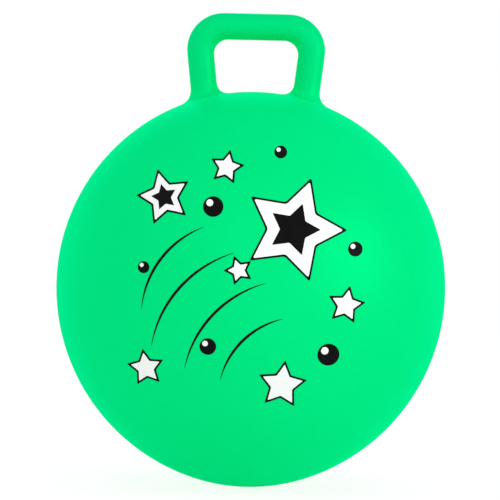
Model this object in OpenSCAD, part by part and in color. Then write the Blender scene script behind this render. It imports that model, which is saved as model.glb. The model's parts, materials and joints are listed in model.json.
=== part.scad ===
// Hopper ball: an air-filled ball of soft vinyl with a hollow loop handle on top.
// It stands on z = 0 with the printed front towards -Y, and the handle spans along X.
// The air valve, a moulded-in bush with a push-in plug, sits in the back.

/* [Ball] */
// Radius of the ball at its widest level
ball_r = 225; // [190:5:330]
// How much higher the top half of the ball stands than a half sphere
top_rise = 1.3; // [0.5:0.1:4]
// How much deeper the bottom half of the ball hangs than a half sphere
bottom_drop = 5.8; // [2:0.2:12]
// Radius of the flattened patch that the ball rests on
patch_r = 17.5; // [10:0.5:30]
// Thickness of the ball's skin
skin_wall = 1; // [0.8:0.1:2.5]

/* [Handle] */
// Width of the loop over the outside of its legs
handle_w = 158.4; // [140:1:200]
// Height of the loop above the top of the ball
handle_rise = 90.2; // [80:0.2:130]
// Diameter of the handle's tube
grip_d = 30.7; // [24:0.2:38]
// Wall of the handle's tube
handle_wall = 2; // [1.2:0.1:4]
// Radius of the rounding on the inside of the loop's two corners
inner_corner_r = 16.2; // [10:0.2:24]
// Radius of the rounding on the outside of those corners
outer_corner_r = 42.1; // [34:0.1:46]
// Lean of the legs, which stand closer together at the ball than at the corners
leg_lean = 6.5; // [0:0.5:12]
// How far each leg's foot spreads out over the ball
foot_spread = 15; // [8:0.5:20]

/* [Air valve] */
// Diameter of the bush's neck, which fills the hole in the skin
neck_d = 22; // [20:0.5:28]
// Diameter of the bush's flange, bonded to the inside of the skin
flange_d = 36; // [32:0.5:48]
// Thickness of the bush's flange
flange_t = 2.4; // [1.5:0.1:4]
// Diameter of the bush's barrel
barrel_d = 15; // [12:0.5:19]
// Length of the bush's barrel, measured from the ball's surface
barrel_l = 17; // [12:0.5:24]
// Diameter of the air hole through the bush
air_hole_d = 8.6; // [7:0.1:10]
// Diameter of the plug's head
plug_head_d = 16; // [13:0.5:18]
// Thickness of the plug's head
plug_head_t = 1.7; // [1.2:0.1:2.4]
// Length of the plug's stem
plug_stem_l = 20; // [14:0.5:26]
// Number of sealing ribs round the plug's stem
rib_count = 3; // [2:1:4]

/* [Print] */
// Thickness of the printed ink
ink_t = 0.2; // [0.15:0.05:0.4]
// Width of the black line round each star
star_line_w = 2.2; // [1:0.1:3]
// Radius of the large star, from its middle to its tips
large_star_r = 54; // [40:1:56]
// Radius of the medium star
medium_star_r = 27; // [20:1:30]
// Radius of an ordinary small star
small_star_r = 17; // [12:1:19]
// Radius of the black bubbles' largest kind
bubble_r = 12; // [7:0.5:13]
// Length of the longest stroke in the large star's tail
tail_l = 136; // [100:2:140]
// Thickness of a tail stroke at its middle
tail_w = 2.8; // [1:0.1:4]

/* [Hidden] */

// Smoothness of the round shapes
$fn = 96;
// Clearance between the feet of the handle, or the bush, and the skin that they are bonded to
bond_gap = 0.1;
// Running clearance of the plug's ribs in the air hole, and of its head in the recess
rib_clearance = 0.05;
head_clearance = 0.5;
// How far a cutting shape runs past what it cuts
overrun = 5;

// The ball's bottom half has a flat arc at its side and a rounder one, the cap, at its pole.
// The flat arc's middle lies past the axis by this many times the drop.
side_shift_share = 1.2;
side_shift = bottom_drop * side_shift_share;
// The cap stands out of the flat arc by this share of the drop, so that the two arcs cross
crossing_share = 0.014;
cap_shift = shift_between(side_shift, side_shift - bottom_drop * (1 - crossing_share));
cap_r = ball_r + bottom_drop - cap_shift;
// The ball is flattened by this much where it stands
patch_depth = cap_r - sqrt(cap_r * cap_r - patch_r * patch_r);
equator_z = ball_r + bottom_drop - patch_depth;
// The top half is a half sphere on a short band, and this is the sphere's middle
top_middle = [0, 0, equator_z + top_rise];
ball_top_z = equator_z + top_rise + ball_r;

grip_r = grip_d / 2;
bore_r = grip_r - handle_wall;
// Radius from the middle of a corner's inner rounding to the middle of the straight tube
corner_r = inner_corner_r + grip_r;
corner_x = handle_w / 2 - grip_r - corner_r;
corner_z = ball_top_z + handle_rise - grip_r - corner_r;
// The feet start to spread this far above the skin
foot_height = foot_spread;

plug_seat_depth = plug_head_t + head_clearance / 2;
plug_stem_r = air_hole_d / 2 - rib_clearance;
// The stem is slimmer between its ribs, and tapers at its tip
stem_waist_share = 0.9;
stem_tip_share = 0.6;
taper_l_share = 0.25;
rib_pitch_share = 0.2;
rib_w_share = 0.07;

// How far below the widest level the cap's middle lies, from how far the flat arc's middle lies
// past the axis and how much less than that the flat arc's radius exceeds the cap's own reach
function shift_between(shift, rest) = (shift * shift - rest * rest) / (2 * rest);

// Outline of the ball

// The right half of the ball's outline, grown outwards by some amount, with the widest level at 0
module half_outline(grow) {
    reach = 2 * ball_r;
    // The half sphere and its band
    intersection() {
        translate([0, top_rise])
            circle(r = ball_r + grow);
        translate([0, top_rise])
            square([reach, reach]);
    }
    square([ball_r + grow, top_rise]);
    // The bottom half: the flat arc's disc, less what lies past the cap near the pole
    difference() {
        intersection() {
            translate([-side_shift, 0])
                circle(r = ball_r + side_shift + grow);
            translate([0, -ball_r - bottom_drop + patch_depth - grow])
                square([reach, ball_r + bottom_drop - patch_depth + grow]);
        }
        difference() {
            polygon([
                [-side_shift, 0],
                [-side_shift, 0] + reach * [side_shift, -cap_shift] / norm([side_shift, cap_shift]),
                [-side_shift, -reach],
            ]);
            translate([0, -cap_shift])
                circle(r = cap_r + grow);
        }
    }
}

// The solid ball in its place, grown outwards by some amount
module full_ball(grow) {
    translate([0, 0, equator_z])
        rotate_extrude()
            half_outline(grow);
}

// Puts children drawn along +Z on the ball's level axis, pointing out of its back
module at_back() {
    translate([0, 0, equator_z])
        rotate([-90, 0, 0])
            children();
}

// Handle: the places of its middle line, and rings of points round it

// Direction from the corner's middle, at an angle from level
function outward(angle) = [cos(angle), 0, sin(angle)];
corner_start = [corner_x, 0, corner_z] + corner_r * outward(-leg_lean);
leg_down = [-sin(leg_lean), 0, -cos(leg_lean)];

ring_sides = 32;
corner_steps = 9;
foot_steps = 6;

// A ring's point, seen from the tube's middle line: half_w in the loop's plane, half_d across it
function ring_offset(side, normal, half_w, half_d) =
    let (turn = side * 360 / ring_sides)
    half_w * cos(turn) * normal + [0, half_d * sin(turn), 0];

// How far the corner's outside lies from the middle of its inner rounding. The outer rounding is
// tighter than one about the same middle would be, so the tube is wider halfway round the corner.
half_corner = (90 + leg_lean) / 2;
function outer_reach(angle) =
    let (
        to_straight = corner_r + grip_r,
        shift = (to_straight - outer_corner_r) / cos(half_corner),
        straight_from = half_corner - atan(shift * sin(half_corner) / to_straight),
        turned = abs(angle + leg_lean - half_corner)
    )
    turned > straight_from
        ? to_straight / cos(half_corner - turned)
        : shift * cos(turned) + sqrt(pow(outer_corner_r, 2) - pow(shift * sin(turned), 2));

function corner_ring(angle, r) =
    let (
        outside = outer_reach(angle) - grip_r + r,
        inside = corner_r - r
    )
    [
        for (side = [0:ring_sides - 1])
            [corner_x, 0, corner_z] + (outside + inside) / 2 * outward(angle)
                + ring_offset(side, outward(angle), (outside - inside) / 2, r)
    ];

// The feet sit on a sphere just over the skin's top
seat_r = ball_r + bond_gap;

// How far along a direction a point meets the seat
function seat_distance(point, direction) =
    let (offset = point - top_middle, along = offset * direction)
    -along - sqrt(along * along - offset * offset + seat_r * seat_r);

// The point of the seat nearest to a given point
function on_seat(point) = top_middle + seat_r * (point - top_middle) / norm(point - top_middle);

// A ring of the leg, a share of the way down from the corner to where its foot starts to spread
function leg_ring(share, r) = [
    for (side = [0:ring_sides - 1])
        let (
            start = corner_start + ring_offset(side, outward(-leg_lean), r, r),
            drop = seat_distance(start, leg_down) - foot_height
        )
        start + share * drop * leg_down
];

// A ring of the foot: a smooth curve from the straight leg, towards the skin, then out along it
function foot_ring(share, r, spread) = [
    for (side = [0:ring_sides - 1])
        let (
            offset = ring_offset(side, outward(-leg_lean), r, r),
            start = corner_start + offset,
            drop = seat_distance(start, leg_down),
            above = start + (drop - foot_height) * leg_down,
            corner = start + drop * leg_down,
            rim = on_seat(corner + spread * offset / norm(offset))
        )
        pow(1 - share, 2) * above + 2 * share * (1 - share) * corner + pow(share, 2) * rim
];

function mirrored(ring) = [for (point = ring) [-point.x, point.y, point.z]];

// Rings of a foot's sole, which lie on the seat between two edges of the foot
sole_steps = 4;
function sole_rings(start, end) = [
    for (i = [1:sole_steps - 1])
        [
            for (side = [0:ring_sides - 1])
                on_seat(start[side] + i / sole_steps * (end[side] - start[side]))
        ]
];

// All rings of one surface of the tube, from the right foot over the top to the left foot
function tube_rings(r, spread) =
    let (
        half = [
            for (i = [foot_steps:-1:1]) foot_ring(i / foot_steps, r, spread),
            for (share = [1, 0.5]) leg_ring(share, r),
            for (i = [0:corner_steps]) corner_ring(-leg_lean + i * (90 + leg_lean) / corner_steps, r),
        ]
    )
    [
        each half,
        for (i = [len(half) - 1:-1:0]) mirrored(half[i]),
    ];

// Triangles over a closed band of rings, where the last ring joins the first one again
function band_faces(rings) = [
    for (i = [0:rings - 1], side = [0:ring_sides - 1])
        let (
            next_ring = (i + 1) % rings,
            next_side = (side + 1) % ring_sides,
            a = i * ring_sides + side,
            b = i * ring_sides + next_side,
            c = next_ring * ring_sides + next_side,
            d = next_ring * ring_sides + side
        )
        each [[a, b, c], [a, c, d]]
];

// The shape of one five-pointed star, with its tips at r
star_points = 5;
star_waist_share = 0.52;
// Distance from a star's middle to the lines through its edges, for a star with its tips at 1
star_edge_share = star_waist_share * sin(180 / star_points)
    / sqrt(1 + pow(star_waist_share, 2) - 2 * star_waist_share * cos(180 / star_points));

module star(r) {
    polygon([
        for (i = [0:2 * star_points - 1])
            let (turn = 90 + i * 180 / star_points, reach = i % 2 == 0 ? r : r * star_waist_share)
            reach * [cos(turn), sin(turn)]
    ]);
}

// A curved stroke from end to end along X, bowed upwards, that is thin at both ends
module stroke(length, bow, w) {
    inner_r = arc_r(length, bow);
    outer_r = arc_r(length, bow + w);
    difference() {
        translate([0, bow + w - outer_r])
            circle(r = outer_r);
        translate([0, bow - inner_r])
            circle(r = inner_r);
    }
}

// Radius of the arc with this chord and this height
function arc_r(chord, height) = (chord * chord / 4 + height * height) / (2 * height);

// Where each printed shape sits, as shares of the ball's radius, sideways and upwards
large_star_shares = [0.2, 0.32];
large_star_turn = -18;
medium_star_shares = [-0.43, 0.46];
medium_star_turn = 16;
small_star_shares = [[-0.13, 0.61], [0.46, -0.04], [-0.5, -0.37], [0.16, -0.43], [-0.06, 0.12]];
small_star_turns = [-10, -10, 10, -6, 20];
small_star_size_shares = [0.88, 1, 1, 1.35, 0.7];
bubble_shares = [
    [-0.19, 0.42], [0.5, 0.23], [-0.2, -0.25], [0.38, -0.28], [-0.52, 0.12], [0.13, 0.69],
];
bubble_size_shares = [0.92, 0.67, 0.75, 1, 0.54, 0.58];
tail_shares = [[-0.28, -0.03], [-0.12, -0.15], [-0.38, 0.12], [0.01, -0.26]];
tail_turns = [50, 48, 54, 46];
tail_length_shares = [1, 0.94, 0.82, 0.7];
// How far a tail stroke bows, as a share of its length
tail_bow_share = 0.13;
// Size of the black star in the middle of a large or medium star
core_share = 0.54;
// The light spot on a bubble: its size and place, as shares of the bubble's radius
spot_share = 0.34;
spot_place_shares = [-0.34, 0.36];

module cored_star_places() {
    translate(ball_r * large_star_shares)
        rotate(large_star_turn)
            children(0);
    translate(ball_r * medium_star_shares)
        rotate(medium_star_turn)
            children(1);
}

// The small stars, each with its edges moved outwards by w
module small_stars(w) {
    for (i = [0:len(small_star_shares) - 1])
        translate(ball_r * small_star_shares[i])
            rotate(small_star_turns[i])
                star(small_star_r * small_star_size_shares[i] + w / star_edge_share);
}

// The white field of the large and medium stars, each with its edges moved outwards by w
module star_fields(w) {
    cored_star_places() {
        star(large_star_r + w / star_edge_share);
        star(medium_star_r + w / star_edge_share);
    }
}

module star_cores() {
    cored_star_places() {
        star(large_star_r * core_share);
        star(medium_star_r * core_share);
    }
}

module bubbles() {
    for (i = [0:len(bubble_shares) - 1])
        translate(ball_r * bubble_shares[i])
            circle(r = bubble_r * bubble_size_shares[i]);
}

module bubble_spots() {
    for (i = [0:len(bubble_shares) - 1])
        translate(ball_r * bubble_shares[i] + bubble_r * bubble_size_shares[i] * spot_place_shares)
            circle(r = bubble_r * bubble_size_shares[i] * spot_share);
}

module tail() {
    for (i = [0:len(tail_shares) - 1])
        let (length = tail_l * tail_length_shares[i])
        translate(ball_r * tail_shares[i])
            rotate(tail_turns[i])
                stroke(length, length * tail_bow_share, tail_w);
}

// A thin layer of ink on the front of the ball, in the flat shape of the children
module inked() {
    // Only the front of the ball, past this share of its radius, takes ink
    front_share = 0.4;
    difference() {
        intersection() {
            full_ball(ink_t);
            translate([0, -ball_r * front_share, equator_z])
                rotate([90, 0, 0])
                    linear_extrude(height = ball_r)
                        children();
        }
        full_ball(0);
    }
}

// The ball's skin, open to the air valve and to the inside of the handle
module ball_skin() {
    color("#02E47E")
    difference() {
        full_ball(0);
        full_ball(-skin_wall);
        for (turn = [0, 180])
            rotate([0, 0, turn])
                translate(corner_start)
                    rotate([0, 180 + leg_lean, 0])
                        cylinder(h = ball_r / 2, r = bore_r);
        at_back()
            cylinder(h = ball_r + overrun, d = neck_d);
    }
}

// The hollow loop: an outer and an inner surface, joined by the soles of the two feet
module handle_loop() {
    outer = tube_rings(grip_r, foot_spread);
    inner = tube_rings(bore_r, 0);
    last = len(outer) - 1;
    rings = [
        each outer,
        each sole_rings(outer[last], inner[last]),
        for (i = [last:-1:0]) inner[i],
        each sole_rings(inner[0], outer[0]),
    ];
    color("#02E480")
    polyhedron(points = [for (ring = rings) each ring], faces = band_faces(len(rings)));
}

// The bush that holds the plug: a neck in the skin, a flange behind it and a barrel inside
module valve_bush() {
    flange_face_r = ball_r - skin_wall - bond_gap;
    neck_r = neck_d / 2 - bond_gap;
    color("#02D873")
    at_back()
        rotate_extrude()
            difference() {
                union() {
                    intersection() {
                        circle(r = flange_face_r);
                        translate([0, ball_r / 2])
                            square([flange_d / 2, ball_r]);
                    }
                    intersection() {
                        circle(r = ball_r);
                        translate([0, ball_r / 2])
                            square([neck_r, ball_r]);
                    }
                }
                difference() {
                    circle(r = flange_face_r - flange_t);
                    translate([0, ball_r - barrel_l])
                        square([barrel_d / 2, barrel_l]);
                }
                square([air_hole_d / 2, ball_r + overrun]);
                translate([0, ball_r - plug_seat_depth])
                    square([plug_head_d / 2 + head_clearance, plug_seat_depth + overrun]);
            }
}

// The push-in plug: a thin head in the bush's recess and a ribbed stem with a tapered tip
module valve_plug() {
    head_r = plug_head_d / 2;
    head_bevel = plug_head_t / 4;
    waist_r = plug_stem_r * stem_waist_share;
    rib_w = plug_stem_l * rib_w_share;
    rib_pitch = plug_stem_l * rib_pitch_share;
    head_base = ball_r - plug_seat_depth + rib_clearance;
    color("white")
    at_back()
        rotate_extrude()
            polygon([
                [0, head_base - plug_stem_l],
                [plug_stem_r * stem_tip_share, head_base - plug_stem_l],
                [waist_r, head_base - plug_stem_l * (1 - taper_l_share)],
                for (i = [rib_count - 1:-1:0])
                    let (rib_z = head_base - rib_w - i * rib_pitch)
                    each [
                        [waist_r, rib_z - rib_w],
                        [plug_stem_r, rib_z - rib_w / 2],
                        [plug_stem_r, rib_z],
                        [waist_r, rib_z + rib_w / 2],
                    ],
                [waist_r, head_base],
                [head_r - head_bevel, head_base],
                [head_r, head_base + head_bevel],
                [head_r, head_base + plug_head_t - head_bevel],
                [head_r - head_bevel, head_base + plug_head_t],
                [0, head_base + plug_head_t],
            ]);
}

// The white ink: the stars' fields and the bubbles' light spots
module print_white() {
    color("#FAFAFA")
    inked() {
        difference() {
            star_fields(0);
            star_cores();
        }
        small_stars(0);
        bubble_spots();
    }
}

// The black ink: lines round the stars, cores in the larger ones, the bubbles and the tail
module print_black() {
    color("#161616")
    inked() {
        difference() {
            star_fields(star_line_w);
            star_fields(0);
        }
        star_cores();
        difference() {
            small_stars(star_line_w);
            small_stars(0);
        }
        difference() {
            bubbles();
            bubble_spots();
        }
        tail();
    }
}

ball_skin();
handle_loop();
valve_bush();
valve_plug();
print_white();
print_black();
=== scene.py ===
# %% [markdown]
# # A hopper ball
# A hopper ball is one hollow moulding of soft vinyl: a ball of 45 cm with a loop handle that grows out
# of its top. A plug at the back keeps the air in, and the front carries a print in white and black
# ink. The construction is fixed already. This notebook loads it and gives each piece its final
# surface and finish, in the same place and at the same size.

# %% The tools and the construction
import json
import math

import bmesh
import bpy
import numpy as np
from mathutils import Matrix, Vector


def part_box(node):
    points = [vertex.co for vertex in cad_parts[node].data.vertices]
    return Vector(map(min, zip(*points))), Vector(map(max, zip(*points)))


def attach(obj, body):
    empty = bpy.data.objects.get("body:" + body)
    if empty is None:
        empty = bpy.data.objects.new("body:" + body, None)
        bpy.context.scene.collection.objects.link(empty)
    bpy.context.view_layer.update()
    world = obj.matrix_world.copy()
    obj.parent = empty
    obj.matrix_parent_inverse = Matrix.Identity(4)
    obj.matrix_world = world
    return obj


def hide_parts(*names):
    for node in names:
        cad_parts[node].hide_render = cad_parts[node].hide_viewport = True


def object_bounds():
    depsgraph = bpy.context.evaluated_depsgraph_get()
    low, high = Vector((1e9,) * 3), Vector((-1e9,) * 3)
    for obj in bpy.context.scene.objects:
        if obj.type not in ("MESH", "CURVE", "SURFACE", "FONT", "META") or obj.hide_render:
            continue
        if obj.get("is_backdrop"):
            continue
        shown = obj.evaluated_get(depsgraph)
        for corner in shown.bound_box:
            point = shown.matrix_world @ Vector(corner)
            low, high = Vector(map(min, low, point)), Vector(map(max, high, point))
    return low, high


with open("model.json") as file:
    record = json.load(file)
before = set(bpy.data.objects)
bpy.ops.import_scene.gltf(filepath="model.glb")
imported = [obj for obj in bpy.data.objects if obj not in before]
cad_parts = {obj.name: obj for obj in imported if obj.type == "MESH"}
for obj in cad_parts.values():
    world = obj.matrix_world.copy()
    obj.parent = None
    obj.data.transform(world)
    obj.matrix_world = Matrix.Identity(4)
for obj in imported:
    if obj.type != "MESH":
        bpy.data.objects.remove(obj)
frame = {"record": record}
construction_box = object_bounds()
MM = 0.001
print("construction from", *[tuple(round(value, 4) for value in corner) for corner in construction_box])

# %% [markdown]
# The main sizes are read from the construction, so that the surfaces made here keep to it. The valve's
# place gives the ball's radius and the height of its widest level, and the handle's gives the bar.
# What can't be read there, such as how round the corners are, is a named value here.

# %% Sizes of the ball and the handle
places = {mount["name"]: mount["pos_m"] for mount in frame["record"]["mounts"]}
BALL_R = places["valve_port"][1]
MIDDLE = np.array([0.0, 0.0, places["valve_port"][2]])
TOP_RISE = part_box("ball_skin")[1].z - MIDDLE[2] - BALL_R
BOTTOM_DROP = 5.8 * MM
SKIN_WALL = 1.0 * MM

BAR_Z = places["handle_grip"][2]
GRIP_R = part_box("handle_loop")[1].z - BAR_Z
HANDLE_WALL = 2.0 * MM
HALF_HANDLE_W = 79.2 * MM
INNER_CORNER_R = 16.2 * MM
OUTER_CORNER_R = 42.1 * MM
LEG_LEAN = math.radians(6.5)
FOOT_SPREAD = 15.0 * MM
print(f"ball {2000 * BALL_R:.0f} mm across, bar {2000 * GRIP_R:.1f} mm thick at {1000 * BAR_Z:.0f} mm")

# %% [markdown]
# Every surface here is a grid of points worked out by a formula. A grid becomes faces by joining each
# point to its neighbours, and several grids whose borders meet become one closed piece once the
# corners that lie in the same place are welded.

# %% From grids of points to a closed piece
WELD = 0.002 * MM
SHARP = math.radians(40)


def sheet(points, around=False, keep=None):
    """The faces over a grid: each cell joins a point, its right neighbour, and the two in the next row.
    With around, the last column joins the first. keep marks the cells that stay."""
    rows, columns = points.shape[:2]
    row, column = np.indices((rows - 1, columns if around else columns - 1))
    beside = (column + 1) % columns
    corners = [row * columns + column, row * columns + beside]
    corners += [(row + 1) * columns + beside, (row + 1) * columns + column]
    faces = np.stack(corners, axis=-1)
    faces = faces if keep is None else faces[keep]
    return points.reshape(-1, 3), faces.reshape(-1, 4)


def closed_piece(name, sheets):
    """One object from sheets whose borders meet, with its faces turned outwards."""
    counts = [len(points) for points, _ in sheets]
    starts = np.cumsum([0] + counts[:-1])
    points = np.concatenate([points for points, _ in sheets])
    faces = np.concatenate([faces + start for (_, faces), start in zip(sheets, starts)])
    mesh = bpy.data.meshes.new(name)
    mesh.from_pydata(points.tolist(), [], faces.tolist())
    shell = bmesh.new()
    shell.from_mesh(mesh)
    bmesh.ops.remove_doubles(shell, verts=shell.verts, dist=WELD)
    bmesh.ops.recalc_face_normals(shell, faces=shell.faces)
    loose = sum(not edge.is_manifold for edge in shell.edges)
    shell.to_mesh(mesh)
    shell.free()
    mesh.shade_smooth()
    mesh.set_sharp_from_angle(angle=SHARP)
    made = bpy.data.objects.new(name, mesh)
    bpy.context.scene.collection.objects.link(made)
    print(f"{name}: {len(mesh.vertices)} points, {len(mesh.polygons)} faces, {loose} open edges")
    return made


# %% [markdown]
# ## The ball's outline
# Air keeps the ball almost round, but it stands a little taller than it is wide, and its underside
# hangs deeper than its top rises. A sphere would miss that, and a free curve would be hard to fit to.
# So each half is two arcs that touch: a flat one at the side and a rounder cap at the pole.

# %% The ball's surface, seen from its middle
RIDGE_H = 0.2 * MM
TOP_SHIFT = 1.7 * TOP_RISE
BOTTOM_SHIFT = 1.2 * BOTTOM_DROP


def half_outline(rise, shift):
    """The two arcs of half the outline. The side arc's middle lies shift past the axis, and the cap's
    on the axis. The arcs touch, so the distance of their middles is the difference of their radii:
    cap height = (shift^2 - (shift - rise)^2) / (2 (shift - rise))."""
    cap_height = (shift**2 - (shift - rise) ** 2) / (2 * (shift - rise))
    side = (np.array([-shift, 0.0]), BALL_R + shift)
    cap = (np.array([0.0, cap_height]), BALL_R + rise - cap_height)
    across = cap[0] - side[0]
    touch = side[0] + side[1] * across / np.linalg.norm(across)
    return side, cap, math.atan2(touch[1], touch[0])


TOP = half_outline(TOP_RISE, TOP_SHIFT)
BOTTOM = half_outline(BOTTOM_DROP, BOTTOM_SHIFT)
CAP_MIDDLE = MIDDLE + np.array([0.0, 0.0, TOP[1][0][1]])
CAP_R = TOP[1][1]


def to_arc(seen, middle, radius):
    """Distance along unit directions to a circle round the start: s + sqrt(s^2 - |middle|^2 + radius^2),
    where s is how far the direction runs along the middle."""
    along = seen @ middle
    return along + np.sqrt(along**2 - middle @ middle + radius**2)


def on_ball(directions, grow=0.0, floor=0.0):
    """Points of the ball's surface, grown by some amount, along directions from its middle: middle plus
    direction times the distance to whichever arc is met. Where the ball stands, it is flattened at the
    height floor."""
    unit = directions / np.linalg.norm(directions, axis=-1, keepdims=True)
    across, up = np.hypot(unit[..., 0], unit[..., 1]), unit[..., 2]
    halves = []
    for way, (side, cap, touch) in ((1, TOP), (-1, BOTTOM)):
        seen = np.stack([across, way * up], axis=-1)
        to_side = to_arc(seen, side[0], side[1] + grow)
        to_cap = to_arc(seen, cap[0], cap[1] + grow)
        halves.append(np.where(np.arctan2(way * up, across) > touch, to_cap, to_side))
    reach = np.where(up >= 0, halves[0], halves[1])
    points = MIDDLE + unit * reach[..., None]
    points[..., 2] = np.maximum(points[..., 2], floor)
    return points


print(f"caps of {1000 * CAP_R:.1f} mm radius above and {1000 * BOTTOM[1][1]:.1f} mm below")

# %% [markdown]
# ## The handle's tube
# The loop is the same vinyl, blown hollow with the ball. Its tube could be a curve with a round bevel,
# but it is wider at the corners, and the feet flow out over the ball. So it is worked out as rings
# along the loop: a foot, a straight leg, a corner, the bar, and then the same in a mirror.

# %% The loop as rings of points
CORNER_R = INNER_CORNER_R + GRIP_R
CORNER = np.array([HALF_HANDLE_W - GRIP_R - CORNER_R, 0.0, BAR_Z - CORNER_R])
DOWN_LEG = np.array([-math.sin(LEG_LEAN), 0.0, -math.cos(LEG_LEAN)])
LEG_START = CORNER + CORNER_R * np.array([math.cos(LEG_LEAN), 0.0, -math.sin(LEG_LEAN)])
ASIDE = np.array([0.0, 1.0, 0.0])
FOOT_RINGS, LEG_RINGS, CORNER_RINGS, BAR_RINGS = 16, 6, 20, 8


def outer_reach(tilt):
    """Distance from CORNER to the tube's outer side. The outer rounding is tighter than one about
    CORNER would be: a ray meets its circle at s cos(t) + sqrt(R^2 - s^2 sin(t)^2), t from halfway
    round and s from CORNER, and before and after the circle the side is straight."""
    half = (math.pi / 2 + LEG_LEAN) / 2
    to_straight = CORNER_R + GRIP_R
    shift = (to_straight - OUTER_CORNER_R) / math.cos(half)
    straight_from = half - math.atan(shift * math.sin(half) / to_straight)
    turned = np.abs(tilt + LEG_LEAN - half)
    straight = to_straight / np.cos(half - turned)
    rounded = shift * np.cos(turned) + np.sqrt(OUTER_CORNER_R**2 - (shift * np.sin(turned)) ** 2)
    return np.where(turned > straight_from, straight, rounded)


def corner_rings(turns, radius):
    """Rings round the corner: each is an ellipse between the inner rounding and the outer side."""
    tilt = np.linspace(-LEG_LEAN, math.pi / 2, CORNER_RINGS)[:, None]
    out = np.stack([np.cos(tilt), 0 * tilt, np.sin(tilt)], axis=-1)
    outside, inside = outer_reach(tilt) - GRIP_R + radius, CORNER_R - radius
    in_plane = (outside + inside) / 2 + (outside - inside) / 2 * np.cos(turns)
    return CORNER + in_plane[..., None] * out + (radius * np.sin(turns))[:, None] * ASIDE


def to_seat(start, seat_r):
    """Distance down the leg's line from each start to a sphere round the cap's middle."""
    below = start - CAP_MIDDLE
    along = (below @ DOWN_LEG)[:, None]
    return -along - np.sqrt(along**2 - (below**2).sum(axis=1, keepdims=True) + seat_r**2)


def foot_and_leg(start, grow):
    """Rings from the foot's rim up to the leg's start. Each line of the leg runs straight down, then
    turns out over the ball on a quadratic Bezier curve: (1-s)^2 above + 2s(1-s) bend + s^2 rim. The
    bend is where the line meets the plane that touches the ball at the rim, so the foot ends smoothly."""
    seat_r = (CAP_R + grow)[:, None]
    drop = to_seat(start, seat_r)
    offset = start - LEG_START
    spread = FOOT_SPREAD * offset / np.linalg.norm(offset, axis=1, keepdims=True)
    normal = start + drop * DOWN_LEG + spread - CAP_MIDDLE
    normal = normal / np.linalg.norm(normal, axis=1, keepdims=True)
    rim = CAP_MIDDLE + seat_r * normal
    above = start + (drop - FOOT_SPREAD) * DOWN_LEG
    to_plane = ((rim - above) * normal).sum(axis=1) / (normal @ DOWN_LEG)
    bend = above + to_plane[:, None] * DOWN_LEG
    share = np.linspace(1, 0, FOOT_RINGS)[:, None, None]
    foot = (1 - share) ** 2 * above + 2 * share * (1 - share) * bend + share**2 * rim
    share = np.linspace(1, 0, LEG_RINGS)[1:-1, None, None]
    leg = start + share * (drop - FOOT_SPREAD) * DOWN_LEG
    return np.concatenate([foot, leg])


def loop_rings(turns, radius, grow):
    """All rings of one surface of the tube. radius and grow may differ from line to line."""
    corner = corner_rings(turns, radius)
    share = np.linspace(0, 1, BAR_RINGS)[1:, None, None]
    bar = corner[-1] - share * np.array([CORNER[0], 0, 0])
    half = np.concatenate([foot_and_leg(corner[0], grow), corner, bar])
    return np.concatenate([half, half[-2::-1] * np.array([-1, 1, 1])])


# %% [markdown]
# ## One skin for ball and handle
# A ball of rings round the handle's axis would crowd its lines at the feet. Here the rings run round
# the axis from front to back instead. The valve then sits at one pole, and the moulding's parting
# line, a ridge as fine as a hair, is one of the grid's own lines. Two windows are left out of the
# grid where the feet stand, and an apron of rings joins each window's border to its foot.

# %% The lines of the grid
foot_middle = LEG_START + to_seat(LEG_START[None], CAP_R)[0] * DOWN_LEG - MIDDLE
FOOT_ANGLE = math.atan2(foot_middle[0], foot_middle[2])
WINDOW_HALF = math.radians(12.8)
WINDOW_CELLS = 9
RIDGE_LINES = np.array([0.3, 0.6, 1.1]) * MM
RIDGE_HALF_W = 0.7 * MM
CELL = math.radians(1.7)


def ridge_lift(distance):
    """Height of the parting line at some distance from the loop's plane: a squared cosine."""
    inside = np.minimum(np.abs(distance) / RIDGE_HALF_W, 1)
    return RIDGE_H * np.cos(inside * math.pi / 2) ** 2


def both_sides(values):
    """Rising positive values, with their negatives and nought before them."""
    return np.concatenate([-values[::-1], [0.0], values])


regular = np.arange(1, WINDOW_CELLS + 1) / WINDOW_CELLS
side_lines = both_sides(np.concatenate([np.arcsin(RIDGE_LINES / BALL_R), regular * WINDOW_HALF]))
side_turns = both_sides(np.concatenate([np.arcsin(RIDGE_LINES / GRIP_R), regular * math.pi / 4]))
window_round = np.linspace(0, 2 * FOOT_ANGLE, 2 * WINDOW_CELLS + 1)
rest_round = 2 * math.pi - 4 * FOOT_ANGLE
rest_lines = np.linspace(0, rest_round, round(rest_round / CELL) + 1)[1:-1] + 2 * FOOT_ANGLE
round_lines = np.concatenate([window_round, rest_lines, 2 * math.pi - window_round[:0:-1]])
print(f"{len(round_lines)} lines round the ball, {len(side_lines)} across a window")

# %% The border of a window, and where each of its lines meets the tube
half_side = len(side_lines) // 2
window_border = np.concatenate([
    np.stack([np.full(half_side, 2 * FOOT_ANGLE), side_lines[half_side:-1]], axis=1),
    np.stack([window_round[:0:-1], np.full(2 * WINDOW_CELLS, WINDOW_HALF)], axis=1),
    np.stack([np.zeros(2 * half_side), side_lines[:0:-1]], axis=1),
    np.stack([window_round[:-1], np.full(2 * WINDOW_CELLS, -WINDOW_HALF)], axis=1),
    np.stack([np.full(half_side, 2 * FOOT_ANGLE), side_lines[:half_side]], axis=1),
])
across_turns = np.linspace(-math.pi / 4, math.pi / 4, 2 * WINDOW_CELLS + 1)[:-1]
tube_turns = np.concatenate([
    side_turns[half_side:-1],
    across_turns + math.pi / 2,
    side_turns[:-1] + math.pi,
    across_turns + 3 * math.pi / 2,
    side_turns[:half_side] + 2 * math.pi,
])
tube_lift = ridge_lift(GRIP_R * np.sin(tube_turns))
print(f"{len(tube_turns)} lines along the tube")


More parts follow.
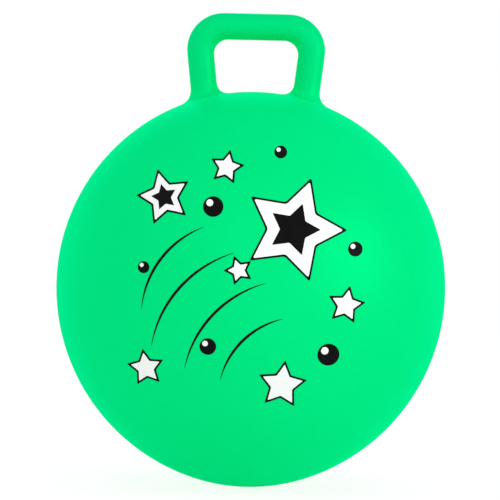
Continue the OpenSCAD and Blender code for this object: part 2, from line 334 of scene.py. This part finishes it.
# %% Directions from the ball's middle
def direction(round_angle, side_angle):
    """Unit direction from the ball's middle: round_angle runs from the top over the right side, and
    side_angle from the loop's plane towards the back. Its parts are cos(side) sin(round), sin(side) and
    cos(side) cos(round)."""
    across, level = np.sin(side_angle) + 0 * round_angle, np.cos(side_angle)
    return np.stack([level * np.sin(round_angle), across, level * np.cos(round_angle)], axis=-1)


# %% A surface of the skin
APRON_RINGS = 10
APRON_CROWDING = 1.3
ANGLE_SLACK = 1e-9


def surface(hole_r, tube_r, grow, floor, ridge):
    """Sheets of one closed surface of the skin, apart from the hole for the valve, and the hole's edge.
    The apron's rings divide the way from the foot's rim to the window's border, closer at the rim."""
    hole_line = math.acos(hole_r / (BALL_R + grow))
    front = np.linspace(-math.pi / 2, -WINDOW_HALF, round((math.pi / 2 - WINDOW_HALF) / CELL) + 1)
    back = np.linspace(WINDOW_HALF, hole_line, round((hole_line - WINDOW_HALF) / CELL) + 1)
    lines = np.concatenate([front[:-1], side_lines, back[1:]])
    lift = ridge * ridge_lift(BALL_R * np.sin(lines))[:, None]
    ball = on_ball(direction(round_lines[None, :], lines[:, None]), grow + lift, floor)
    window_rows = (lines >= -WINDOW_HALF - ANGLE_SLACK) & (lines < WINDOW_HALF - ANGLE_SLACK)
    columns = np.arange(len(round_lines))
    window_columns = (columns < 2 * WINDOW_CELLS) | (columns >= len(round_lines) - 2 * WINDOW_CELLS)
    keep = ~(window_rows[:-1, None] & window_columns[None, :])
    tube_grow = grow + ridge * tube_lift
    tube = loop_rings(tube_turns, tube_r + ridge * tube_lift, tube_grow)
    border = direction(window_border[:, 0], window_border[:, 1])
    rim = tube[0] - MIDDLE
    rim = rim / np.linalg.norm(rim, axis=1, keepdims=True)
    share = (np.linspace(0, 1, APRON_RINGS) ** APRON_CROWDING)[:, None, None]
    apron = on_ball((1 - share) * rim + share * border, tube_grow, floor)
    mirrored = apron * np.array([-1, 1, 1])
    sheets = [sheet(ball, True, keep), sheet(tube, True), sheet(apron, True), sheet(mirrored, True)]
    return sheets, ball[-1]


# %% The outside, the inside and the hole for the valve
NECK_R = 11.0 * MM
HOLE_EDGE = 0.4 * MM
HOLE_EDGE_RINGS = 5
INSET = RIDGE_H

outside, outer_edge = surface(NECK_R + HOLE_EDGE, GRIP_R - INSET, -INSET, 0.0, 1.0)
inside, inner_edge = surface(NECK_R, GRIP_R - HANDLE_WALL, -INSET - SKIN_WALL, SKIN_WALL, 0.0)
roll = np.linspace(0, math.pi / 2, HOLE_EDGE_RINGS)[:, None, None]
radial = np.stack([np.sin(round_lines), 0 * round_lines, np.cos(round_lines)], axis=-1)
rolled = outer_edge - HOLE_EDGE * (np.sin(roll) * radial + (1 - np.cos(roll)) * ASIDE)
hole_wall = sheet(np.concatenate([rolled, inner_edge[None]]), True)
skin = closed_piece("moulded_skin", [*outside, *inside, hole_wall])

# %% [markdown]
# ## The valve
# A thick collar is moulded into the back, and a plug is pushed into it. Both are turned shapes, so each
# is an outline carried round the valve's axis. Soft plastic has no sharp edge: every corner of the
# outline is eased by a short curve first.

# %% Turned pieces
SIDES = 96


def eased(corners, size, steps=5, closed=True):
    """An outline whose corners are replaced by quadratic Bezier curves that start and end at most size
    from the corner, and never past the middle of an edge."""
    before, after = np.roll(corners, 1, axis=0) - corners, np.roll(corners, -1, axis=0) - corners
    lengths = [np.linalg.norm(edge, axis=1, keepdims=True) for edge in (before, after)]
    start = corners + before * np.minimum(0.5, size / lengths[0])
    end = corners + after * np.minimum(0.5, size / lengths[1])
    share = np.linspace(0, 1, steps)[None, :, None]
    curves = (1 - share) ** 2 * start[:, None] + 2 * share * (1 - share) * corners[:, None]
    curves = curves + share**2 * end[:, None]
    if closed:
        return curves.reshape(-1, 2)
    return np.concatenate([corners[:1], curves[1:-1].reshape(-1, 2), corners[-1:]])


def turned(outline):
    """An outline of (radius, distance from the ball's middle), carried round the valve's axis: each point
    goes to radius sin(turn) sideways and radius cos(turn) up."""
    turn = np.linspace(0, 2 * math.pi, SIDES, endpoint=False)
    radius, depth = outline[:, :1], np.broadcast_to(outline[:, 1:], (len(outline), SIDES))
    return MIDDLE + np.stack([radius * np.sin(turn), depth, radius * np.cos(turn)], axis=-1)


print(f"turned pieces have {SIDES} sides")

# %% Sizes of the collar
AIR_HOLE_R = 4.3 * MM
HEAD_R = 8.0 * MM
HEAD_T = 1.7 * MM
HEAD_CLEARANCE = 0.5 * MM
HEAD_SINK = 0.25 * MM
RECESS_R = HEAD_R + HEAD_CLEARANCE
RECESS_BASE = BALL_R - HEAD_T - HEAD_SINK
BOND_GAP = 0.1 * MM
FLANGE_R = 18.0 * MM
FLANGE_FACE = BALL_R - INSET - SKIN_WALL - BOND_GAP
FLANGE_T = 2.4 * MM
BARREL_R = 7.5 * MM
BARREL_L = 17.0 * MM
BARREL_END = BALL_R - BARREL_L
NECK_CLEARANCE = 0.06 * MM
COLLAR_EASE = 0.45 * MM

# The ball curves away from the valve's axis, so the collar dips by these amounts to follow it
RECESS_DIP = 0.1 * MM
NECK_DIP = 0.3 * MM
FLANGE_NECK_DIP = 0.2 * MM
FLANGE_RIM_DIP = 0.7 * MM
print(f"air hole {2000 * AIR_HOLE_R:.1f} mm, flange {2000 * FLANGE_R:.0f} mm wide")

# %% The collar
neck = NECK_R - NECK_CLEARANCE
collar_outline = np.array([
    [neck, BALL_R - INSET - NECK_DIP],
    [RECESS_R, BALL_R - INSET - RECESS_DIP],
    [RECESS_R, RECESS_BASE],
    [AIR_HOLE_R, RECESS_BASE],
    [AIR_HOLE_R, BARREL_END],
    [BARREL_R, BARREL_END],
    [BARREL_R, FLANGE_FACE - FLANGE_T],
    [FLANGE_R, FLANGE_FACE - FLANGE_T - FLANGE_RIM_DIP],
    [FLANGE_R, FLANGE_FACE - FLANGE_RIM_DIP],
    [neck, FLANGE_FACE - FLANGE_NECK_DIP],
])
collar_grid = turned(eased(collar_outline, COLLAR_EASE))
collar_grid = np.concatenate([collar_grid, collar_grid[:1]])
collar = closed_piece("valve_collar", [sheet(collar_grid, True)])

# %% Sizes of the plug
RIB_CLEARANCE = 0.05 * MM
STEM_R = AIR_HOLE_R - RIB_CLEARANCE
WAIST_R = 0.9 * STEM_R
TIP_R = 0.6 * STEM_R
HEAD_GAP = 0.05 * MM
HEAD_BASE = RECESS_BASE + HEAD_GAP
HEAD_TOP = HEAD_BASE + HEAD_T
STEM_L = 20.0 * MM
STEM_END = HEAD_BASE - STEM_L
TAPER_L = 5.0 * MM
RIB_COUNT = 3
RIB_PITCH = 4.0 * MM
RIB_W = 1.4 * MM
RIM_R = 0.86 * HEAD_R
DISH_R = 0.78 * HEAD_R
DISH_FLAT_R = 0.2 * HEAD_R
DISH_DEPTH = 0.45 * MM
DISH_BASE = HEAD_TOP - DISH_DEPTH
PLUG_EASE = 0.4 * MM
print(f"plug head {2000 * HEAD_R:.0f} mm, stem {2000 * STEM_R:.1f} mm with {RIB_COUNT} ribs")

# %% The plug
ribs = []
for rib in range(RIB_COUNT, 0, -1):
    foot = HEAD_BASE - rib * RIB_PITCH + RIB_PITCH - 2 * RIB_W
    ribs += [[WAIST_R, foot], [STEM_R, foot + 0.5 * RIB_W]]
    ribs += [[STEM_R, foot + RIB_W], [WAIST_R, foot + 1.5 * RIB_W]]
plug_outline = np.array([
    [0.0, STEM_END],
    [TIP_R, STEM_END],
    [WAIST_R, STEM_END + TAPER_L],
    *ribs,
    [WAIST_R, HEAD_BASE],
    [HEAD_R, HEAD_BASE],
    [HEAD_R, HEAD_TOP],
    [RIM_R, HEAD_TOP],
    [DISH_R, DISH_BASE],
    [DISH_FLAT_R, DISH_BASE],
    [0.0, DISH_BASE],
])
plug = closed_piece("air_plug", [sheet(turned(eased(plug_outline, PLUG_EASE, closed=False)), True)])

# %% [markdown]
# ## The print
# The ink lies on the skin as a film that catches the light a little differently. Painting it into the
# skin's colour would blur its edges, so each printed shape is a thin closed layer. A flat grid of
# places is worked out first, and each place is then sent from the ball's middle onto its front.

# %% A layer of ink over the ball
INK_TOP = -INSET + 0.12 * MM
INK_BASE = -INSET - 0.15 * MM
INK_CELL = 3.5 * MM


def ink(plan, around=True, filled=False):
    """Sheets of a thin closed layer over a grid of flat places (sideways, up) from the ball's middle:
    its top, its base and the walls at its borders. The front of the ball lies in the direction (sideways,
    -sqrt(1 - sideways^2 - up^2), up). filled is for a grid whose first row is one point."""
    shares = plan / BALL_R
    towards = -np.sqrt(1 - (shares**2).sum(axis=-1))
    directions = np.stack([shares[..., 0], towards, shares[..., 1]], axis=-1)
    top, base = on_ball(directions, INK_TOP), on_ball(directions, INK_BASE)
    borders = [-1] if filled else [0, -1]
    walls = [sheet(np.stack([top[row], base[row]]), around) for row in borders]
    if not around:
        walls += [sheet(np.stack([top[:, end], base[:, end]])) for end in (0, -1)]
    return [sheet(top, around), sheet(base, around), *walls]


def placed(plan, turn, shares):
    """A flat grid, turned by some degrees and moved to its place, given as shares of the ball's radius."""
    cosine, sine = math.cos(math.radians(turn)), math.sin(math.radians(turn))
    return plan @ np.array([[cosine, sine], [-sine, cosine]]) + BALL_R * np.array(shares)


def band(outline, start, end):
    """A flat grid between two copies of an outline round nought, scaled by start and by end."""
    rows = max(2, math.ceil((end - start) / INK_CELL) + 1)
    return np.linspace(start, end, rows)[:, None, None] * outline[None]


print(f"ink {1000 * (INK_TOP + INSET):.2f} mm high on the skin")

# %% The outlines: a star and a circle, for a radius of 1
STAR_POINTS = 5
STAR_WAIST_SHARE = 0.52
STAR_EASE_SHARE = 0.05


def evenly(outline, count):
    """count places at equal steps along a closed outline."""
    ring = np.concatenate([outline, outline[:1]])
    walked = np.concatenate([[0], np.cumsum(np.linalg.norm(np.diff(ring, axis=0), axis=1))])
    steps = np.linspace(0, walked[-1], count, endpoint=False)
    return np.stack([np.interp(steps, walked, ring[:, axis]) for axis in (0, 1)], axis=-1)


def star(count):
    """A five-pointed star: tips at 1, waists between them, and every corner eased."""
    turn = math.pi / 2 + np.arange(2 * STAR_POINTS) * math.pi / STAR_POINTS
    reach = np.where(np.arange(2 * STAR_POINTS) % 2, STAR_WAIST_SHARE, 1.0)
    corners = reach[:, None] * np.stack([np.cos(turn), np.sin(turn)], axis=-1)
    return evenly(eased(corners, STAR_EASE_SHARE, steps=9), count)


def circle(count):
    """A circle's places at equal turns: (cos(turn), sin(turn))."""
    turn = np.linspace(0, 2 * math.pi, count, endpoint=False)
    return np.stack([np.cos(turn), np.sin(turn)], axis=-1)


def edge_share():
    """Distance from the star's middle to the lines through its edges. In the triangle of middle, tip
    and waist it is the height over the edge: waist times the sine of their angle, over the edge's
    length, which comes from the law of cosines."""
    half_turn = math.pi / STAR_POINTS
    edge = math.sqrt(1 + STAR_WAIST_SHARE**2 - 2 * STAR_WAIST_SHARE * math.cos(half_turn))
    return STAR_WAIST_SHARE * math.sin(half_turn) / edge


print(f"a star's edges lie at {edge_share():.3f} of its radius")

# %% Sizes and places of the printed shapes
STAR_LINE_W = 2.2 * MM
STAR_STEP = 0.9 * MM
SMALL_STAR_STEP = 0.7 * MM
CORE_SHARE = 0.54
CORED_STARS = [
    (54.0 * MM, (0.2, 0.32), -18),
    (27.0 * MM, (-0.43, 0.46), 16),
]
SMALL_STAR_R = 17.0 * MM
SMALL_STARS = [
    (0.88, (-0.13, 0.61), -10),
    (1.0, (0.46, -0.04), -10),
    (1.0, (-0.5, -0.37), 10),
    (1.35, (0.16, -0.43), -6),
    (0.7, (-0.06, 0.12), 20),
]
BUBBLE_R = 12.0 * MM
BUBBLES = [
    (0.92, (-0.19, 0.42)),
    (0.67, (0.5, 0.23)),
    (0.75, (-0.2, -0.25)),
    (1.0, (0.38, -0.28)),
    (0.54, (-0.52, 0.12)),
    (0.58, (0.13, 0.69)),
]
BUBBLE_SIDES = 72
BUBBLE_RINGS = 4
SPOT_SHARE = 0.34
SPOT_PLACE_SHARES = np.array([-0.34, 0.36])
TAIL_L = 136.0 * MM
TAIL_W = 2.8 * MM
TAIL_BOW_SHARE = 0.13
TAIL_STEPS = 61
TAIL_ROWS = 3
TAIL_FULLNESS = 0.8
TAIL_END_HALF_W = 0.12 * MM
TAIL = [
    (1.0, (-0.28, -0.03), 50),
    (0.94, (-0.12, -0.15), 48),
    (0.82, (-0.38, 0.12), 54),
    (0.7, (0.01, -0.26), 46),
]
print(f"{len(CORED_STARS + SMALL_STARS)} stars, {len(BUBBLES)} bubbles, {len(TAIL)} strokes")

# %% The stars
white, black = [], []
for radius, shares, turn in CORED_STARS:
    outline = star(STAR_POINTS * round(radius / STAR_STEP))
    line_r = radius + STAR_LINE_W / edge_share()
    white += ink(placed(band(outline, CORE_SHARE * radius, radius), turn, shares))
    black += ink(placed(band(outline, radius, line_r), turn, shares))
    black += ink(placed(band(outline, 0, CORE_SHARE * radius), turn, shares), filled=True)
for size, shares, turn in SMALL_STARS:
    radius = size * SMALL_STAR_R
    outline = star(STAR_POINTS * round(radius / SMALL_STAR_STEP))
    line_r = radius + STAR_LINE_W / edge_share()
    white += ink(placed(band(outline, 0, radius), turn, shares), filled=True)
    black += ink(placed(band(outline, radius, line_r), turn, shares))
print(f"{len(white)} sheets of white ink, {len(black)} of black ink")

# %% The bubbles, each with a light spot
outline = circle(BUBBLE_SIDES)
share = np.linspace(0, 1, BUBBLE_RINGS)[:, None, None]
for size, shares in BUBBLES:
    radius = size * BUBBLE_R
    spot_middle = radius * SPOT_PLACE_SHARES
    spot = radius * (SPOT_PLACE_SHARES + SPOT_SHARE * outline)
    black += ink(placed((1 - share) * spot + share * radius * outline, 0, shares))
    white += ink(placed(spot_middle + share * (spot - spot_middle), 0, shares), filled=True)


# %% The tail of strokes
def stroke(length, bow, width):
    """A curved stroke: an arc over a chord, whose radius is (length^2 / 4 + bow^2) / (2 bow). Its width
    grows from a thin end to the middle with a power of the sine of the way along it."""
    arc_r = (length**2 / 4 + bow**2) / (2 * bow)
    half_turn = math.asin(length / 2 / arc_r)
    share = np.linspace(0, 1, TAIL_STEPS)
    turn = math.pi / 2 + half_turn * (1 - 2 * share)
    out = np.stack([np.cos(turn), np.sin(turn)], axis=-1)
    half_w = 0.5 * width * np.sin(math.pi * share) ** TAIL_FULLNESS + TAIL_END_HALF_W
    across = np.linspace(-1, 1, TAIL_ROWS)[:, None] * half_w[None]
    return (arc_r + across)[..., None] * out[None] - np.array([0, arc_r - bow])


for size, shares, turn in TAIL:
    length = size * TAIL_L
    plan = stroke(length, TAIL_BOW_SHARE * length + TAIL_W / 2, TAIL_W)
    black += ink(placed(plan, turn, shares), around=False)
white_print = closed_piece("white_print", white)
black_print = closed_piece("black_print", black)

# %% [markdown]
# ## Finishes
# A finish is a small network of nodes. Written as plain sums it stays readable: a wire stands for one
# socket, and adding or multiplying wires adds the nodes that work it out.


# %% Wires and finishes
class Wire:
    """An output socket. Sums and products of wires, and of wires and numbers, add Math nodes."""

    def __init__(self, finish, socket):
        self.finish, self.socket = finish, socket

    def math(self, operation, first, second):
        return self.finish.add("ShaderNodeMath", {"operation": operation}, {0: first, 1: second})

    def __add__(self, other):
        return self.math("ADD", self, other)

    def __sub__(self, other):
        return self.math("SUBTRACT", self, other)

    def __rsub__(self, other):
        return self.math("SUBTRACT", other, self)

    def __mul__(self, other):
        return self.math("MULTIPLY", self, other)

    __radd__ = __add__
    __rmul__ = __mul__


class Finish:
    """The node network of a material or of the world."""

    def __init__(self, owner):
        owner.use_nodes = True
        self.owner, self.tree = owner, owner.node_tree
        self.tree.nodes.clear()

    def add(self, kind, settings=None, sockets=None, output=0):
        """Adds a node: its settings first, then the values or wires of its sockets."""
        node = self.tree.nodes.new(kind)
        for name, value in (settings or {}).items():
            setattr(node, name, value)
        for key, value in (sockets or {}).items():
            socket = node.inputs[key]
            if isinstance(value, Wire):
                self.tree.links.new(value.socket, socket)
            else:
                socket.default_value = value
        return Wire(self, node.outputs[output]) if len(node.outputs) else None

    def noise(self, scale, detail=2.0, roughness=0.5):
        """A cloudy pattern from 0 to 1 in the piece's own coordinates, with about scale clouds a metre."""
        where = self.add("ShaderNodeTexCoord", output="Object")
        sockets = {"Vector": where, "Scale": scale, "Detail": detail, "Roughness": roughness}
        return self.add("ShaderNodeTexNoise", None, sockets)

    def between(self, factor, first, second):
        """The colour that lies factor of the way from the first colour to the second."""
        return self.add("ShaderNodeMix", {"data_type": "RGBA"}, {0: factor, 6: first, 7: second}, 2)

    def bump(self, height, distance):
        """A surface that seems raised by distance where height is 1."""
        return self.add("ShaderNodeBump", None, {"Height": height, "Distance": distance})


def plastic(name, colour, roughness, normal, uniform):
    """A material with one plastic surface. colour, roughness and normal are given as functions of the
    finish, and uniform holds the values that are the same all over."""
    material = bpy.data.materials.new(name)
    finish = Finish(material)
    sockets = {"Base Color": colour(finish), "Roughness": roughness(finish), "Normal": normal(finish)}
    shader = finish.add("ShaderNodeBsdfPrincipled", None, {**sockets, **uniform})
    finish.add("ShaderNodeOutputMaterial", None, {"Surface": shader})
    print(f"finish {name}: {len(finish.tree.nodes)} nodes")
    return material


# %% [markdown]
# Soft vinyl is satin: it spreads the light widely, and looks a little brighter where the surface turns
# away. Its colour drifts slightly, because the wall isn't equally thick everywhere. The handle is
# painted a deeper green, as painted shade that stands in for the shade on its tube. Its surface has a
# fine pebbling from the mould, and the parting line is a little darker and smoother than the rest. So
# deep a green takes all red out of its own gloss. A clear gloss would put a grey veil over it, so the
# gloss is a share of metal, which reflects in the colour of the vinyl.

# %% Green vinyl
FRESH_GREEN = (0.0006, 0.755, 0.205, 1)
LIGHT_GREEN = (0.0010, 0.845, 0.246, 1)
# Painted shade: the deeper green below, its share and the heights over which it fades in darken the handle
# and the top of the ball under it, standing in for the shade on the handle's tube
HANDLE_SHADE_GREEN = (0.0004, 0.5, 0.18, 1)
LINE_GREEN = (0.0004, 0.5, 0.12, 1)
HANDLE_SHADE_SHARE = 0.2
HANDLE_SHADE_Z = (BAR_Z - 90 * MM, BAR_Z - 55 * MM)
LINE_SHARE = 0.2
LINE_HALF_W = 0.5 * MM


def coordinate(finish, axis):
    """The place along one of the piece's own axes: 0 for x, 1 for y and 2 for z."""
    where = finish.add("ShaderNodeTexCoord", output="Object")
    return finish.add("ShaderNodeSeparateXYZ", None, {"Vector": where}, axis)


def fade(finish, value, start, end):
    """0 up to the start value, 1 from the end value on, and an eased way between them."""
    sockets = {"Value": value, "From Min": start, "From Max": end}
    return finish.add("ShaderNodeMapRange", {"interpolation_type": "SMOOTHSTEP"}, sockets)


def parting_line(finish):
    """1 on the parting line, which runs in the loop's plane, and 0 beside it."""
    aside = coordinate(finish, 1)
    return 1 - fade(finish, aside.math("ABSOLUTE", aside, 0.0), LINE_HALF_W, 2 * LINE_HALF_W)


def vinyl_colour(finish):
    """Cloudy green, mixed with a deeper green painted on the handle as painted shade, and with a deeper
    green on the parting line.
    """
    clouds = 0.7 * finish.noise(7, 3) + 0.3 * finish.noise(160)
    green = finish.between(clouds, FRESH_GREEN, LIGHT_GREEN)
    # Painted shade: 0 low on the ball, rising to 1 from the handle's feet upwards
    handle_shade = fade(finish, coordinate(finish, 2), *HANDLE_SHADE_Z)
    green = finish.between(HANDLE_SHADE_SHARE * handle_shade, green, HANDLE_SHADE_GREEN)
    return finish.between(LINE_SHARE * parting_line(finish), green, LINE_GREEN)


vinyl = plastic(
    "green_vinyl",
    vinyl_colour,
    lambda finish: 0.34 + 0.1 * finish.noise(60, 3) - 0.08 * parting_line(finish),
    lambda finish: finish.bump(finish.noise(420, 3) + 0.6 * finish.noise(1500), 0.12 * MM),
    {
        "Metallic": 0.2,
        "Specular IOR Level": 0.0,
        "Specular Tint": (0.0, 1.0, 1.0, 1),
        "Sheen Weight": 1.0,
        "Sheen Roughness": 0.37,
        "Sheen Tint": (0.0, 1.0, 0.36, 1),
    },
)

# %% [markdown]
# The inks are smoother than the skin, so the black shows soft grey reflections. The plug is white
# plastic with a slight bloom.

# %% Inks and plug plastic
white_ink = plastic(
    "white_ink",
    lambda finish: finish.between(finish.noise(90, 3), (0.95, 0.955, 0.95, 1), (1.0, 1.0, 1.0, 1)),
    lambda finish: 0.34 + 0.12 * finish.noise(140),
    lambda finish: finish.bump(finish.noise(900), 0.008 * MM),
    {"Specular IOR Level": 0.4},
)
black_ink = plastic(
    "black_ink",
    lambda finish: finish.between(
        finish.noise(90, 3), (0.0015, 0.0015, 0.0017, 1), (0.004, 0.004, 0.0045, 1)
    ),
    lambda finish: 0.26 + 0.16 * finish.noise(140),
    lambda finish: finish.bump(finish.noise(900), 0.008 * MM),
    {"Specular IOR Level": 0.06},
)
plug_white = plastic(
    "plug_white",
    lambda finish: finish.between(finish.noise(300, 3), (0.80, 0.80, 0.77, 1), (0.88, 0.88, 0.86, 1)),
    lambda finish: 0.3 + 0.15 * finish.noise(800),
    lambda finish: finish.bump(finish.noise(2500), 0.01 * MM),
    {"Specular IOR Level": 0.4},
)

# %% [markdown]
# ## Each piece on its body
# A piece takes the place of its construction solid and moves with that solid's body: the plug slides
# out of the back, and everything else stays with the ball.

# %% Dressing the construction
dressing = [
    (skin, vinyl, "vinyl", "ball", ["ball_skin", "handle_loop"]),
    (collar, vinyl, "vinyl", "ball", ["valve_bush"]),
    (plug, plug_white, "plug_plastic", "plug", ["valve_plug"]),
    (white_print, white_ink, "white_ink", "ball", ["print_white"]),
    (black_print, black_ink, "black_ink", "ball", ["print_black"]),
]
for piece, finish, slot, body, nodes in dressing:
    piece.data.materials.append(finish)
    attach(piece, body)
    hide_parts(*nodes)
    print(f"{piece.name} rides on {body} in place of {', '.join(nodes)}")

# %% [markdown]
# ## The studio
# The ball stands on a plain white floor in very soft light. A softbox at the front fills, one at the
# right leaves a broad highlight, and three behind the ball brighten its rims, the highest of them with
# a faint gleam. The floor and the sky are white to the camera and in reflections, but their light on
# the ball stays moderate, so that its colours render as they are written.

# %% The floor
FLOOR_HALF = 30.0
FLOOR_GLOW = 1.15
SEEN_GLOW_SHARE = 0.75
BOUNCED_GLOW_SHARE = 0.335
floor_points = FLOOR_HALF * np.array([[[-1, -1, 0], [1, -1, 0]], [[-1, 1, 0], [1, 1, 0]]], float)
floor_mesh = bpy.data.meshes.new("floor")
floor_grid, floor_faces = sheet(floor_points)
floor_mesh.from_pydata(floor_grid.tolist(), [], floor_faces.tolist())
floor = bpy.data.objects.new("floor", floor_mesh)
bpy.context.scene.collection.objects.link(floor)
floor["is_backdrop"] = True


def seen_itself(finish):
    """1 on the rays that show a surface itself, to the camera or in a reflection, and 0 on the others."""
    rays = ["Is Camera Ray", "Is Glossy Ray", "Is Transmission Ray"]
    return sum(finish.add("ShaderNodeLightPath", output=ray) for ray in rays)


floor_finish = Finish(bpy.data.materials.new("studio_white"))
seen = seen_itself(floor_finish)
matt = floor_finish.add("ShaderNodeBsdfDiffuse", None, {"Color": (0.8, 0.8, 0.8, 1)})
glow = floor_finish.add("ShaderNodeEmission", None, {"Color": (1, 1, 1, 1), "Strength": FLOOR_GLOW})
share = BOUNCED_GLOW_SHARE + (SEEN_GLOW_SHARE - BOUNCED_GLOW_SHARE) * seen
mixed = floor_finish.add("ShaderNodeMixShader", None, {0: share, 1: matt, 2: glow})
floor_finish.add("ShaderNodeOutputMaterial", None, {"Surface": mixed})
floor_mesh.materials.append(floor_finish.owner)
print(f"floor {2 * FLOOR_HALF:.0f} m wide")

# %% The sky
SKY_LEVEL = 0.8
sky = bpy.data.worlds.new("studio_sky")
bpy.context.scene.world = sky
sky_finish = Finish(sky)
level = SKY_LEVEL + (1 - SKY_LEVEL) * seen_itself(sky_finish)
background = sky_finish.add("ShaderNodeBackground", None, {"Color": (1, 1, 1, 1), "Strength": level})
sky_finish.add("ShaderNodeOutputWorld", None, {"Surface": background})
print(f"sky lights at {SKY_LEVEL}")


# %% The softboxes
def softbox(name, place, size, level, gleams):
    """A square lamp aimed at the ball's middle. A white card there would get level times the light that
    renders it white: power = level * 4 pi * distance^2. Only a lamp that gleams shows in reflections."""
    lamp = bpy.data.lights.new(name, "AREA")
    lamp.shape, lamp.size = "SQUARE", size
    away = np.array(place) - MIDDLE
    lamp.energy = level * 4 * math.pi * float(away @ away)
    holder = bpy.data.objects.new(name, lamp)
    bpy.context.scene.collection.objects.link(holder)
    holder.location = place
    holder.visible_glossy = gleams
    holder.rotation_mode = "QUATERNION"
    holder.rotation_quaternion = Vector(away).to_track_quat("Z", "Y")
    print(f"{name}: {lamp.energy:.1f} W")
    return holder


softbox("side_softbox", (1.62, -0.95, 0.75), size=1.2, level=0.125, gleams=True)
softbox("front_softbox", (0.1, -2.4, 1.5), size=1.6, level=0.1, gleams=False)
softbox("back_left_softbox", (-1.8, 1.6, 0.1), size=1.2, level=0.18, gleams=False)
softbox("back_right_softbox", (1.8, 1.6, 0.2), size=1.2, level=0.12, gleams=False)
softbox("high_back_softbox", (-0.2, 2.4, 1.6), size=1.0, level=0.045, gleams=True)

# %% [markdown]
# ## The camera
# The photograph was taken from far away, level with the ball and a little above it, and the ball stands
# slightly turned in it. The lens follows from the ball's width in the picture, and the aim from where
# its middle lies.

# %% The camera at the photograph's place
PICTURE = 500
BALL_RADIUS_PX = 194.7
BALL_MIDDLE_PX = (250.8, 287.3)
DISTANCE = 3.0
ELEVATION = math.radians(1.5)
ROLL = math.radians(1.3)
SENSOR_MM = 36.0
CLIP_FROM, CLIP_TO = 0.05, 100.0

focal_px = BALL_RADIUS_PX / math.tan(math.asin(BALL_R / DISTANCE))
camera_data = bpy.data.cameras.new("camera")
camera_data.sensor_width = SENSOR_MM
camera_data.lens = focal_px / PICTURE * SENSOR_MM
camera = bpy.data.objects.new("camera", camera_data)
bpy.context.scene.collection.objects.link(camera)
bpy.context.scene.camera = camera
print(f"lens {camera_data.lens:.1f} mm")

# %% The camera's place and turn
view_axis = np.array([0.0, -math.cos(ELEVATION), math.sin(ELEVATION)])
level_right = np.array([1.0, 0.0, 0.0])
level_up = np.cross(view_axis, level_right)
right = math.cos(ROLL) * level_right + math.sin(ROLL) * level_up
up = -math.sin(ROLL) * level_right + math.cos(ROLL) * level_up
per_px = DISTANCE / focal_px
px_right, px_down = (place - PICTURE / 2 for place in BALL_MIDDLE_PX)
aim = MIDDLE - per_px * (px_right * right - px_down * up)
eye = aim + DISTANCE * view_axis
pose = np.eye(4)
pose[:3, 0], pose[:3, 1], pose[:3, 2], pose[:3, 3] = right, up, view_axis, eye
camera.matrix_world = Matrix(pose)
camera_data.clip_start, camera_data.clip_end = CLIP_FROM, CLIP_TO
print("camera at", np.round(eye, 3))

# %% The view settings, the sizes and the end
bpy.context.scene.view_settings.view_transform = "Standard"
boxes = {"construction": construction_box, "visual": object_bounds()}
for name, (low, high) in boxes.items():
    print(name, [round(1000 * value, 2) for value in (*low, *high)])
